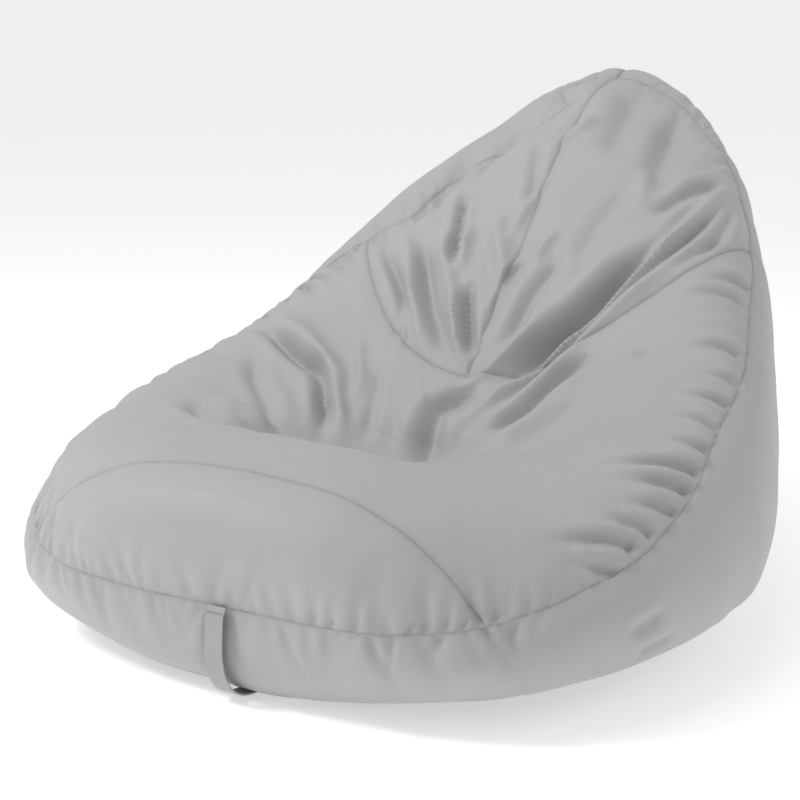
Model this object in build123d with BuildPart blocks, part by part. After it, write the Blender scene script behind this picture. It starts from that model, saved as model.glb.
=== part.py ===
from build123d import *
import os
from math import cos, dist, radians, sin


# Bean bag chair: a sewn cover of seven panels over an inner bag of beads, with a zip in the
# centre-back seam and a carry strap at the front. Millimetres, +Z up, the sitter faces -Y.
# The origin is on the floor, under the middle of the bag.

# ---- driving dimensions ----
bag_width = 950
bag_depth = 1000
bag_height = 670

cover_wall = 3.0            # outer fabric with its seam allowances
cover_to_liner = 3.0        # slack between the cover and the inner bag
liner_wall = 1.5
liner_to_beads = 1.5
seat_clearance = 0.3        # between pieces that lie on one another

rim_height_front = 115      # height of the gathered front seam
arc_seam_y = 68 - bag_depth / 2         # the arc seam over the front lobe lies in this plane
back_seam_middle_y = 0.045 * bag_depth  # the seat to backrest seam is an arc in plan view, from
back_seam_side_y = 0.245 * bag_depth    # the middle of the hollow to the rim on either side
back_seam_side_x = 0.300 * bag_width

back_foot_y = bag_depth / 2 - 65        # where the flat centre back starts, and how far it leans
back_foot_z = 60
back_lean = 6.6             # degrees from upright

zip_length = 360
zip_foot_z = 75             # height of the zip's lower end
zip_gap = 12                # opening between the panel edges
zip_tape_width = 15         # each tape
zip_tape_wall = 0.7
zip_tape_lap = 10           # how far the tapes run on behind the panels at each end
coil_width = 2.8
coil_height = 1.8
coil_gap = 0.1              # half of the parting between the closed coils
stop_length = 4
slider_length = 14
slider_width = 9.4
slider_plate = 1.2
slider_clearance = 0.3
slider_rounding = 2.3
bail_share = 0.6            # how far along the slider its bail stands
bail_radius = 0.9
bail_span = 6.4             # width over the bail's two ears
bail_ear = 1.2
pull_length = 30
pull_width = 7
pull_wall = 1.6
pull_rounding = 2.1
pull_bore_clearance = 0.25
pull_eye_wall = 0.9
pull_neck = 6

strap_width = 25
strap_side = 20             # the strap sits a little to the right of the middle
strap_wall = 2.4
strap_bow = 10              # how far the slack strap stands off the bag
strap_end_length = 14
strap_foot_height = 9
strap_foot_length = 28
strap_foot_stand = 14       # how far the strap stands off the bag just above the floor
strap_floor_gap = 0.6
bar_tack_wall = 0.8
bar_tack_height = 2.5
bar_tack_inset = 2          # from each edge of the strap

label_width = 30
label_height = 45
label_wall = 0.6
label_side = 40             # from the centre-back seam to the label's middle
label_foot = 40             # along the back from its foot to the label's lower edge

liner_strip_width = 22
liner_strip_length = 260
liner_strip_wall = 1.2

heel_share = 0.05           # how flat the underside's edge lies, as a share of the belly's height
outline_pull = 0.7          # below 1, an outline turns tightly at its closely set points

# ---- the filled shape, as upright cross-sections from the front to the back ----
# Each station: y, bottom z, half width on the floor, belly half width and z, rim half width
# and z, shoulder half width and z, crown z. Widths are shares of half the bag's width, y is
# a share of its depth and heights are shares of its height.
STATIONS = [
    (-0.500, 0.120, 0.10, 0.22, 0.165, 0.20, 0.215, 0.12, 0.265, 0.275),
    (-0.482, 0.045, 0.18, 0.48, 0.150, 0.47, 0.190, 0.27, 0.315, 0.345),
    (-0.440, 0.000, 0.25, 0.70, 0.135, 0.68, 0.180, 0.40, 0.345, 0.390),
    (-0.370, -0.045, 0.38, 0.83, 0.130, 0.81, 0.215, 0.50, 0.355, 0.400),
    (-0.270, -0.045, 0.48, 0.93, 0.135, 0.90, 0.280, 0.55, 0.365, 0.367),
    (-0.150, -0.045, 0.53, 0.98, 0.145, 0.91, 0.345, 0.60, 0.385, 0.296),
    (-0.050, -0.045, 0.56, 0.98, 0.155, 0.88, 0.398, 0.60, 0.405, 0.295),
    (0.060, -0.045, 0.55, 0.90, 0.160, 0.81, 0.458, 0.55, 0.480, 0.440),
    (0.170, -0.045, 0.51, 0.78, 0.170, 0.73, 0.545, 0.48, 0.630, 0.625),
    (0.290, -0.045, 0.40, 0.60, 0.180, 0.62, 0.680, 0.37, 0.785, 0.845),
    (0.390, -0.030, 0.21, 0.38, 0.200, 0.45, 0.825, 0.26, 0.865, 0.955),
    (0.440, 0.090, 0.15, 0.26, 0.280, 0.35, 0.880, 0.19, 0.950, 0.975),
    (0.475, 0.330, 0.12, 0.25, 0.500, 0.26, 0.905, 0.15, 0.970, 1.000),
    (0.530, 0.780, 0.08, 0.16, 0.840, 0.15, 0.930, 0.09, 0.970, 0.990),
]


def back_plane(depth):
    """The flat centre back, moved inwards by depth; its local y runs up the back."""
    lean = radians(back_lean)
    outward = Vector(0, cos(lean), -sin(lean))
    foot = Vector(0, back_foot_y, back_foot_z)
    return Plane(origin=foot - outward * depth, x_dir=(-1, 0, 0), z_dir=outward)


def section_points(station, inset):
    """Closed outline of one cross-section, drawn in by inset."""
    y, bottom, floor_w, belly_w, belly_z, rim_w, rim_z, shoulder_w, shoulder_z, crown = station
    half = bag_width / 2
    floor_z = max(bottom, 0)
    heel_z = floor_z + heel_share * (belly_z - floor_z)
    right = [
        (floor_w * half - inset, heel_z * bag_height + inset),
        (belly_w * half - inset, belly_z * bag_height),
        (rim_w * half - inset, rim_z * bag_height - inset * 0.4),
        (shoulder_w * half - inset * 0.5, shoulder_z * bag_height - inset),
    ]
    left = [(-x, z) for x, z in reversed(right)]
    foot = (0, bottom * bag_height + inset)
    top = (0, crown * bag_height - inset)
    return [foot, *right, top, *left]


def outline_knots(points):
    """Where a closed spline through the points has its knots, from the gaps between them."""
    knots = [0]
    for start, end in zip(points, points[1:] + points[:1]):
        knots.append(knots[-1] + dist(start, end) ** outline_pull)
    return knots


def filled_shape(inset, floor_z):
    """The whole bag as one solid, drawn in by inset and cut flat at floor_z."""
    with BuildPart() as shape:
        for station in STATIONS:
            y = station[0] * bag_depth
            if station is STATIONS[0]:
                y += inset
            with BuildSketch(Plane.XZ.offset(-y)):
                with BuildLine():
                    outline = section_points(station, inset)
                    add(Edge.make_spline([Vector(x, z) for x, z in outline], periodic=True,
                                         parameters=outline_knots(outline)))
                make_face()
        loft(ruled=True)
        split(bisect_by=Plane.XY.offset(floor_z), keep=Keep.TOP)
        split(bisect_by=back_plane(inset), keep=Keep.BOTTOM)
    return shape.part


bag_outside = filled_shape(0, 0)
cover_inside = filled_shape(cover_wall, cover_wall)
liner_outside = filled_shape(cover_wall + cover_to_liner, cover_wall + seat_clearance)
liner_inside = filled_shape(cover_wall + cover_to_liner + liner_wall,
                            cover_wall + seat_clearance + liner_wall)
beads = filled_shape(cover_wall + cover_to_liner + liner_wall + liner_to_beads,
                     cover_wall + liner_wall + 2 * seat_clearance)


def side_region(points, smooth=0):
    """A region right across the bag, bounded in side view by points (y, z); the first
    smooth points are joined by a spline, the rest by straight lines."""
    with BuildPart() as region:
        with BuildSketch(Plane.YZ):
            with BuildLine():
                if smooth:
                    Spline(*points[:smooth])
                    Polyline(*points[smooth - 1:], points[0])
                else:
                    Polyline(*points, points[0])
            make_face()
        extrude(amount=bag_width, both=True)
    return region.part


def half_region(side):
    """Everything on one side of the bag's middle plane; side is 1 for right, -1 for left."""
    with BuildPart() as region:
        with Locations((side * bag_width, 0, 0)):
            Box(2 * bag_width, 4 * bag_depth, 4 * bag_height)
    return region.part


zip_foot_up = (zip_foot_z - back_foot_z) / cos(radians(back_lean))

# ---- where the cover's seams run, in side view ----
far = 2 * bag_depth
rim_line = [
    (-0.60 * bag_depth, rim_height_front - 4),
    (-0.485 * bag_depth, rim_height_front),
    (-0.427 * bag_depth, rim_height_front + 0.033 * bag_height),
    (-0.155 * bag_depth, 0.343 * bag_height),
    (0.118 * bag_depth, 0.494 * bag_height),
    (0.289 * bag_depth, 0.663 * bag_height),
    (0.400 * bag_depth, 0.850 * bag_height),
    (0.445 * bag_depth, 0.975 * bag_height),
    (0.460 * bag_depth, 1.080 * bag_height),
]
# The hollow dips below that line, so a block over it joins the upper face. Its middle and
# length are shares of the depth, its width of the width, and its foot of the height.
hollow_middle, hollow_length, hollow_width, hollow_foot = -0.065, 0.39, 0.64, 0.15
with BuildPart() as upper_face:
    add(side_region(rim_line + [(rim_line[-1][0], far), (rim_line[0][0], far)], len(rim_line)))
    with Locations((0, hollow_middle * bag_depth, hollow_foot * bag_height)):
        Box(hollow_width * bag_width, hollow_length * bag_depth, bag_height,
            align=(Align.CENTER, Align.CENTER, Align.MIN))
front_of_arc = side_region([(arc_seam_y, -far), (arc_seam_y, far), (-far, far), (-far, -far)])

with BuildPart() as back_of_seam:
    with BuildSketch():
        with BuildLine():
            seam_arc = ThreePointArc((-back_seam_side_x, back_seam_side_y), (0, back_seam_middle_y),
                                     (back_seam_side_x, back_seam_side_y))
            Polyline(seam_arc @ 1, (far, back_seam_side_y), (far, far), (-far, far),
                     (-far, back_seam_side_y), seam_arc @ 0)
        make_face()
    extrude(amount=far)
above_base = side_region([(-far, cover_wall), (far, cover_wall), (far, far), (-far, far)])
right_half = half_region(1)
left_half = half_region(-1)


def cover_panel(keep, drop=()):
    """The piece of the cover that lies in all the keep regions and in none of the drop ones."""
    with BuildPart() as panel:
        add(bag_outside)
        for region in keep:
            add(region, mode=Mode.INTERSECT)
        for region in drop:
            add(region, mode=Mode.SUBTRACT)
        add(cover_inside, mode=Mode.SUBTRACT)
    return panel


def bag_front(z):
    """How far forward the bag's outside reaches at height z, behind the strap."""
    hits = bag_outside.find_intersection_points(Axis((strap_side, 0, z), (0, -1, 0)))
    return min(point.Y for point, normal in hits)


def on_back(depth, across, low, wide, high, thickness):
    """A flat strip on the leaning back: depth inside the cover's face, across to the left of
    the middle, starting low up the back; it is thick outwards from there."""
    with BuildPart() as strip:
        with BuildSketch(back_plane(depth)):
            with Locations((across, low + high / 2)):
                Rectangle(wide, high)
        extrude(amount=thickness)
    return strip


def save(piece, name):
    """Label a finished piece and write its file."""
    piece.part.label = name
    export_step(piece.part, f"parts/{name}.step")


os.makedirs("parts", exist_ok=True)

# ---- cover ----
with BuildPart() as zip_opening:
    with BuildSketch(back_plane(-cover_wall)):
        with Locations((0, zip_foot_up + zip_length / 2)):
            Rectangle(zip_gap, zip_length)
    extrude(amount=-3 * cover_wall)

front_panel = cover_panel([above_base, upper_face.part, front_of_arc])
save(front_panel, "front_panel")
seat_panel = cover_panel([above_base, upper_face.part], [front_of_arc, back_of_seam.part])
save(seat_panel, "seat_panel")
backrest_right = cover_panel([above_base, upper_face.part, back_of_seam.part, right_half])
save(backrest_right, "backrest_panel_right")
backrest_left = cover_panel([above_base, upper_face.part, back_of_seam.part, left_half])
save(backrest_left, "backrest_panel_left")
side_right = cover_panel([above_base, right_half], [upper_face.part, zip_opening.part])
save(side_right, "side_panel_right")
side_left = cover_panel([above_base, left_half], [upper_face.part, zip_opening.part])
save(side_left, "side_panel_left")
with BuildPart() as base_panel:
    add(bag_outside)
    add(above_base, mode=Mode.SUBTRACT)
save(base_panel, "base_panel")

# ---- inner bag and filling ----
for side, name in ((1, "liner_right"), (-1, "liner_left")):
    with BuildPart() as liner:
        add(liner_outside)
        add(half_region(side), mode=Mode.INTERSECT)
        add(liner_inside, mode=Mode.SUBTRACT)
    save(liner, name)

liner_strip = on_back(cover_wall + cover_to_liner, 0, zip_foot_up, liner_strip_width,
                      liner_strip_length, liner_strip_wall)
save(liner_strip, "liner_closing_strip")

with BuildPart() as bead_filling:
    add(beads)
save(bead_filling, "bead_filling")

# ---- zip in the centre-back seam ----
coil_foot_up = zip_foot_up + stop_length
coil_length = zip_length - 2 * stop_length
stop_width = 2 * (coil_gap + coil_width)
for side, name in ((1, "left"), (-1, "right")):
    tape = on_back(cover_wall, side * (coil_gap + zip_tape_width / 2), zip_foot_up - zip_tape_lap,
                   zip_tape_width, zip_length + 2 * zip_tape_lap, -zip_tape_wall)
    save(tape, f"zip_tape_{name}")
    coil = on_back(cover_wall, side * (coil_gap + coil_width / 2), coil_foot_up, coil_width,
                   coil_length, coil_height)
    save(coil, f"zip_coil_{name}")
save(on_back(cover_wall, 0, zip_foot_up, stop_width, stop_length, coil_height), "zip_bottom_stop")
save(on_back(cover_wall, 0, coil_foot_up + coil_length, stop_width, stop_length, coil_height),
     "zip_top_stop")

# The slider rides over the closed coils; its local origin is at its foot, on the tape's face.
slider_foot_up = coil_foot_up + slider_clearance
slider_frame = back_plane(cover_wall)
slider_under = coil_height + slider_clearance
slider_top = slider_under + slider_plate
bail_up = slider_foot_up + bail_share * slider_length
bail_out = slider_top + bail_radius + pull_bore_clearance + pull_eye_wall + slider_clearance
ear_inner = bail_span / 2 - bail_ear
with BuildPart() as zip_slider:
    with BuildSketch(slider_frame.offset(slider_clearance)):
        with Locations((0, slider_foot_up + slider_length / 2)):
            RectangleRounded(slider_width, slider_length, slider_rounding)
    extrude(amount=slider_top - slider_clearance)
    with BuildSketch(slider_frame):
        with Locations((0, slider_foot_up + slider_length / 2)):
            Rectangle(stop_width + 2 * slider_clearance, 2 * slider_length)
    extrude(amount=slider_under, mode=Mode.SUBTRACT)
    with BuildSketch(slider_frame.offset(slider_top)):
        with Locations((bail_span / 2 - bail_ear / 2, bail_up), (bail_ear / 2 - bail_span / 2, bail_up)):
            Rectangle(bail_ear, 4 * bail_radius)
    extrude(amount=bail_out - slider_top + bail_radius)
    with Locations(slider_frame * Location((0, bail_up, bail_out), (0, 90, 0))):
        Cylinder(bail_radius, bail_span - bail_ear)
save(zip_slider, "zip_slider")

# The pull hangs straight down from the bail, whatever the back's lean.
pull_pivot = slider_frame.from_local_coords(Vector(0, bail_up, bail_out))
pull_side = Plane(origin=pull_pivot, x_dir=(0, 1, 0), z_dir=(1, 0, 0))
pull_face = Plane(origin=pull_pivot, x_dir=(1, 0, 0), z_dir=(0, -1, 0))
pull_bore = bail_radius + pull_bore_clearance
pull_eye = pull_bore + pull_eye_wall
with BuildPart() as zip_pull:
    with BuildSketch(pull_side):
        Circle(pull_eye)
        with Locations((0, -pull_neck / 2)):
            Rectangle(pull_wall, pull_neck)
    extrude(amount=ear_inner - slider_clearance, both=True)
    with BuildSketch(pull_face):
        with Locations((0, -pull_neck - (pull_length - pull_neck) / 2)):
            RectangleRounded(pull_width, pull_length - pull_neck, pull_rounding)
    extrude(amount=pull_wall / 2, both=True)
    with Locations(pull_side):
        Cylinder(pull_bore, 4 * pull_width, mode=Mode.SUBTRACT)
save(zip_pull, "zip_pull")
slider_travel = coil_length - slider_length - 2 * slider_clearance
print("zip pivot", pull_pivot, "slide axis", slider_frame.y_dir, "travel", slider_travel)

# ---- care label, sewn flat beside the zip ----
save(on_back(0, -label_side, label_foot, label_width, label_height, label_wall), "care_label")

# ---- carry strap at the front ----
strap_top_z = rim_height_front - seat_clearance
strap_mid_z = (strap_top_z - strap_end_length + strap_foot_height) / 2
with BuildPart() as strap_upper_end:
    with Locations((strap_side, bag_front(strap_top_z) - strap_wall, strap_top_z)):
        Box(strap_width, 4 * strap_wall, strap_end_length, align=(Align.CENTER, Align.MIN, Align.MAX))
    add(bag_outside, mode=Mode.SUBTRACT)
save(strap_upper_end, "strap_upper_end")
with BuildPart() as strap_bar_tack:
    with Locations((strap_side, bag_front(strap_top_z) - strap_wall,
                    strap_top_z - strap_end_length / 3)):
        Box(strap_width - 2 * bar_tack_inset, bar_tack_wall, bar_tack_height,
            align=(Align.CENTER, Align.MAX, Align.CENTER))
save(strap_bar_tack, "strap_bar_tack")

grip_top = (bag_front(strap_top_z) - strap_wall / 2 - seat_clearance,
            strap_top_z - strap_end_length - seat_clearance)
grip_middle = (bag_front(strap_mid_z) - strap_bow - strap_wall / 2, strap_mid_z)
grip_foot = (bag_front(strap_foot_height) - strap_foot_stand,
             strap_foot_height + seat_clearance)
with BuildPart() as strap_grip:
    with BuildSketch(Plane.YZ.offset(strap_side)):
        with BuildLine():
            ThreePointArc(grip_top, grip_middle, grip_foot)
        trace(line_width=strap_wall)
    extrude(amount=strap_width / 2, both=True)
    split(bisect_by=Plane.XY.offset(grip_top[1]), keep=Keep.BOTTOM)
    split(bisect_by=Plane.XY.offset(grip_foot[1]), keep=Keep.TOP)
save(strap_grip, "strap_grip")

with BuildPart() as strap_lower_end:
    with Locations((strap_side, bag_front(strap_foot_height / 2) - strap_foot_length,
                    strap_floor_gap)):
        Box(strap_width, strap_foot_length + 4 * strap_wall, strap_foot_height - strap_floor_gap,
            align=(Align.CENTER, Align.MIN, Align.MIN))
    add(bag_outside, mode=Mode.SUBTRACT)
save(strap_lower_end, "strap_lower_end")
print("strap", grip_top, grip_middle, grip_foot, "bag front there", bag_front(strap_mid_z))
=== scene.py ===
"""Bean bag chair: a filled nylon bag of seven sewn panels, with a front strap and a back zip."""
import math

import bmesh
import bpy
import numpy as np
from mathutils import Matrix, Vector, noise
from mathutils.bvhtree import BVHTree
from mathutils.kdtree import KDTree


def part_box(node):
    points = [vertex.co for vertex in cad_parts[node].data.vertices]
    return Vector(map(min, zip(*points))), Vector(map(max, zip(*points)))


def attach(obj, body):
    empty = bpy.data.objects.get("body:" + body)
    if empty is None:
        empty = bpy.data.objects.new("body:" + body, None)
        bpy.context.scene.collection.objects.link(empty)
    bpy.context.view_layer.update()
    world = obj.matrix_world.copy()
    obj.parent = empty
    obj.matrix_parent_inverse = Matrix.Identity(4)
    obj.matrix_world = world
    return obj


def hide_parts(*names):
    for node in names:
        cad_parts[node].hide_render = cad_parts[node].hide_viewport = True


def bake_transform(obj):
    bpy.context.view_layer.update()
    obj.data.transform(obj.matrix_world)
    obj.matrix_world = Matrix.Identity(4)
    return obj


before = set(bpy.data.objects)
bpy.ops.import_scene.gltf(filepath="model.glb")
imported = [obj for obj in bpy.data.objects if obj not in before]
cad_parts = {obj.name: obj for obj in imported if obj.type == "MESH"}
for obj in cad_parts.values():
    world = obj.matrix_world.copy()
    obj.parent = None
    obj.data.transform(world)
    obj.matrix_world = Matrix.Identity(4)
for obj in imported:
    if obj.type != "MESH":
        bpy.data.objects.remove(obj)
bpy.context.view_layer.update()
MM = 0.001

# ---- sizes that the whole model shares, in metres ----
VOXEL = 0.0077               # grain of the first mesh
FILL_TO_COVER = 0.009        # from the filling's surface out to the cover's
FLOOR_SEAM = 0.006           # height of the seam round the base
CLOTH = 0.0009               # thickness of the cover's fabric
SMOOTH_ANGLE = math.radians(50)
ARC_SEAM_Y = -0.430          # the arc seam over the front lobe
BACK_SEAM_MIDDLE = 0.045     # the seat to backrest seam is part of a circle in plan
BACK_SEAM_RADIUS = 0.303
FOLD_SCALE = 1.15            # how much deeper the folds are than the table below gives
FOLD_FADE = 0.30             # share of a fold's length over which either end fades
DEEPEST, HIGHEST = -0.034, 0.014   # how far folds may move the cloth in and out
SEAM_SINK = 0.0021           # depth of the fine groove along a seam
HOLLOW = (0.30, -0.26, 0.13)  # the seat's hollow: half width, front and back
ZIP_FOOT = Vector((0, 0.4367, 0.075))
ZIP_LENGTH = 0.360
ZIP_GAP = 0.012
ZIP_UP = Vector((0, 0.114937, 0.993373))
ZIP_OUT = Vector((0, 0.993373, -0.114937))
STRAP_X = 0.020
STRAP_WIDTH = 0.025
RIM_ROUTE = [                # side view of the rim seam: y, z
    (-0.60, 0.112), (-0.50, 0.115), (-0.427, 0.134), (-0.335, 0.163), (-0.20, 0.212),
    (-0.07, 0.266), (0.118, 0.331), (0.20, 0.380), (0.289, 0.444), (0.36, 0.517),
    (0.40, 0.568), (0.445, 0.655), (0.465, 0.74),
]
# How much higher the rim seam runs on the left: y, rise.
LEFT_CLIMB = [(0.06, 0.0), (0.14, 0.03), (0.215, 0.072), (0.30, 0.09), (0.37, 0.09), (0.445, 0.0)]

# Folds of the upper face. Each has its route in plan (x, y in mm) or on the surface (x, y, z),
# its half width and its height in mm; a valley's height is below zero.
FOLDS = [
    ([(-350, 40), (-250, 5), (-200, -5), (-170, -35), (-115, -110)], 10, -17),   # left crease
    ([(-335, 60), (-235, 30), (-160, -25), (-95, -100)], 12, 9),
    ([(-295, -165), (-220, -205), (-140, -180)], 17, -16),                       # left recess
    ([(-280, -160), (-220, -145), (-160, -140)], 9, 8),
    ([(-305, -15), (-260, -65), (-160, -145)], 11, -8),
    ([(-220, 170), (-180, 140), (-140, 110), (-105, 75)], 7, -9),                # drapes, left back
    ([(-195, 190), (-160, 155), (-85, 65)], 9, 6),
    ([(-160, 185), (-120, 135), (-80, 95), (-35, 55)], 11, -12),
    ([(-140, 205), (-105, 160), (-75, 130), (-30, 75), (15, 45)], 7, 6),
    ([(-125, 245), (-110, 205), (-90, 150)], 7, -11),
    ([(-90, 200), (-75, 140)], 8, 5),
    ([(-50, 150), (-45, 120), (-25, 90), (-5, 60)], 8, -13),
    ([(-65, 220), (-30, 180), (-5, 145), (-10, 110), (-5, 85)], 10, 7),
    ([(15, 170), (5, 150), (10, 135)], 6, -6),
    ([(60, 200), (40, 185), (35, 160)], 8, 6),
    ([(60, 190), (65, 160), (50, 130), (40, 70)], 12, -11),
    ([(210, 210), (135, 120), (105, 90), (60, 25)], 15, -26),                    # the long valley
    ([(80, 110), (25, 45), (0, 20)], 9, 7),
    ([(240, 355), (230, 255), (205, 190), (170, 145), (115, 85), (50, 10), (25, -30)], 8, 11),
    ([(245, 350), (235, 245), (200, 170), (140, 100), (90, 30), (40, -25)], 7, -12),
    ([(185, 85), (135, 35), (110, -5), (60, -35)], 10, -15),
    ([(40, 30), (0, 5), (-10, -10), (0, -70)], 14, -15),
    ([(235, 345), (205, 290), (180, 250), (160, 230)], 9, -11),                  # at the notch
    ([(135, 300), (145, 255), (150, 235)], 12, 6),
    ([(130, 425), (125, 385), (145, 305), (155, 240)], 18, -10),                 # from the peak
    ([(55, 420), (65, 350), (75, 280)], 20, -8),
    ([(30, 345), (10, 310), (-20, 280)], 9, 6),
    ([(-150, 140), (-125, 95), (-110, 50)], 6, 5), ([(-185, 60), (-150, 20), (-120, -40)], 7, 5),
    ([(-130, 40), (-105, -10), (-80, -70)], 8, -6), ([(120, 260), (100, 190), (95, 150)], 14, -6),
    ([(255, 320), (262, 250), (250, 200)], 8, -6), ([(275, 262), (255, 215), (225, 165)], 6, -5),
    ([(-40, 300), (-20, 250), (-5, 215)], 8, -6), ([(5, 260), (-15, 215), (-20, 180)], 6, 4),
    ([(205, 30), (150, -35), (100, -70)], 12, -7), ([(265, -20), (215, -80), (150, -120)], 16, -5),
    ([(-150, 330), (-170, 250), (-200, 200)], 16, -9),
    ([(-90, 380), (-110, 300), (-150, 240)], 18, -8),
    ([(450, -255, 125), (430, -310, 105)], 8, -5),                               # low on the side
    ([(455, -225, 85), (425, -285, 75)], 8, -5),
    ([(455, -120, 55), (458, 0, 45), (430, 110, 60)], 12, -5),
    ([(-300, -380, 35), (-380, -280, 32), (-430, -180, 40)], 11, -6),
    ([(-430, -150, 150), (-450, -60, 110), (-440, 70, 75)], 15, -8),             # hidden side
    ([(-410, 40, 270), (-425, 110, 170), (-400, 200, 80)], 18, -9),
    ([(-340, 220, 340), (-350, 300, 200), (-300, 360, 80)], 20, -10),
    ([(-190, 390, 520), (-235, 425, 380), (-240, 440, 220)], 20, -9),            # back
    ([(-90, 470, 570), (-125, 470, 440), (-140, 460, 320)], 15, -8),
    ([(95, 470, 580), (130, 470, 440), (150, 465, 300)], 15, -8),
    ([(190, 400, 510), (235, 430, 370), (250, 440, 210)], 20, -8),
    ([(335, 250, 330), (350, 310, 200), (305, 370, 75)], 20, -7),
    ([(-220, 425, 50), (-130, 432, 60), (-75, 434, 50)], 10, -6),
    ([(230, 425, 55), (140, 432, 48), (75, 434, 62)], 10, -6),
    ([(60, 482, 470), (110, 478, 505)], 8, -5), ([(-60, 482, 480), (-120, 476, 500)], 8, -5),
]

# Broad sinks, given in the same way, that set the hollow back behind the front lobe's crest.
SINKS = [
    ([(-235, -205), (-150, -150), (-60, -105), (20, -65), (90, -5)], 42, -30),
    ([(60, 20), (110, 90), (170, 170)], 34, -10),
    ([(-120, -260), (0, -290), (120, -280)], 60, 6),
]

# Gathers that run in from the right rim seam: inner end to seam end, half width, height.
RIM_GATHERS = [
    ([(265, 165), (325, 230)], 6, -7), ([(250, 140), (335, 195)], 6, -7),
    ([(290, 78), (365, 115)], 7, -10), ([(215, 60), (255, 72)], 6, -4),
    ([(335, 48), (390, 75)], 6, -8), ([(315, 8), (360, 12), (400, 30)], 7, -11),
    ([(325, -35), (385, -32), (415, -28)], 7, -11), ([(340, -98), (395, -85), (430, -68)], 8, -12),
    ([(300, -192), (370, -155), (430, -115)], 9, -14), ([(335, -212), (400, -175), (432, -150)], 8, -12),
    ([(375, -238), (432, -190)], 7, -10), ([(370, -275), (428, -235)], 7, -9),
    ([(330, -350), (380, -300), (424, -265)], 8, -11), ([(365, -340), (418, -300)], 7, -8),
]


# =============================== small tools ===============================

def only(obj):
    """Make obj the one selected, active object."""
    bpy.ops.object.select_all(action="DESELECT")
    obj.select_set(True)
    bpy.context.view_layer.objects.active = obj


def apply_modifier(obj, kind, **settings):
    """Add a modifier with these settings and apply it."""
    only(obj)
    modifier = obj.modifiers.new(kind.title(), kind)
    for key, value in settings.items():
        setattr(modifier, key, value)
    bpy.ops.object.modifier_apply(modifier=modifier.name)


def duplicate(obj, name):
    """A copy of obj with its own mesh."""
    copy = bpy.data.objects.new(name, obj.data.copy())
    bpy.context.scene.collection.objects.link(copy)
    return copy


def points_of(mesh):
    """The mesh's vertex places as an array."""
    found = np.empty(len(mesh.vertices) * 3)
    mesh.vertices.foreach_get("co", found)
    return found.reshape(-1, 3)


def put_points(mesh, points):
    """Write an array of vertex places back."""
    mesh.vertices.foreach_set("co", np.ascontiguousarray(points).ravel())
    mesh.update()


def normals_of(mesh):
    """The mesh's vertex normals as an array."""
    found = np.empty(len(mesh.vertices) * 3)
    mesh.vertex_normals.foreach_get("vector", found)
    return found.reshape(-1, 3)


def soft_step(value):
    """0 below 0, 1 above 1, and a soft rise between."""
    t = np.clip(value, 0, 1)
    return t * t * (3 - 2 * t)


def hump(distance, width):
    """1 at no distance, falling away smoothly over about this width."""
    return np.exp(-(distance / width) ** 2)


def smooth_route(points, step):
    """Points every step or so along a smooth curve through the given ones."""
    p = np.array(points, float)
    p = np.vstack([2 * p[0] - p[1], p, 2 * p[-1] - p[-2]])
    out = []
    for a, b, c, d in zip(p[:-3], p[1:-2], p[2:-1], p[3:]):
        count = max(2, int(np.linalg.norm(c - b) / step))
        t = np.linspace(0, 1, count, endpoint=False)[:, None]
        out.append(0.5 * (2 * b + (c - a) * t + (2 * a - 5 * b + 4 * c - d) * t ** 2
                          + (3 * b - a - 3 * c + d) * t ** 3))
    out.append(p[-2][None])
    return np.vstack(out)


def rim_height(p):
    """Height of the rim seam over each point; it climbs sooner on the slouching left."""
    x, y = p[:, 0], p[:, 1]
    ys, zs = np.array(RIM_ROUTE).T
    slope = np.gradient(zs, ys)
    k = np.clip(np.searchsorted(ys, y) - 1, 0, len(ys) - 2)
    span = ys[k + 1] - ys[k]
    t = np.clip((y - ys[k]) / span, 0, 1)
    ends = zs[k] * (1 + 2 * t) * (1 - t) ** 2 + zs[k + 1] * t * t * (3 - 2 * t)
    height = ends + span * (slope[k] * t * (1 - t) ** 2 - slope[k + 1] * t * t * (1 - t))
    climb = np.interp(y, *np.array(LEFT_CLIMB).T)
    return height + climb * soft_step(-x / 0.02)


def back_seam_y(x):
    """Depth of the seat to backrest seam at x."""
    reach = np.minimum(np.abs(x), 0.98 * BACK_SEAM_RADIUS)
    return BACK_SEAM_MIDDLE + BACK_SEAM_RADIUS - np.sqrt(BACK_SEAM_RADIUS ** 2 - reach ** 2)


# =============================== the filled bag ===============================

def filled_bag():
    """An even mesh of the cover's outside, grown from the filling's solid."""
    bag = duplicate(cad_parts["bead_filling"], "bag_shape")
    bm = bmesh.new()
    bm.from_mesh(bag.data)
    bmesh.ops.remove_doubles(bm, verts=bm.verts, dist=1e-5)
    bm.to_mesh(bag.data)
    bm.free()
    apply_modifier(bag, "REMESH", mode="VOXEL", voxel_size=VOXEL)
    apply_modifier(bag, "SMOOTH", factor=0.5, iterations=30)
    put_points(bag.data, points_of(bag.data) + normals_of(bag.data) * FILL_TO_COVER)
    apply_modifier(bag, "SMOOTH", factor=0.5, iterations=20)
    points = points_of(bag.data)
    points[:, 2] = np.maximum(points[:, 2], 0)
    put_points(bag.data, points)
    apply_modifier(bag, "SUBSURF", levels=1, render_levels=1)
    bag.data.materials.clear()
    return bag


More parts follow.
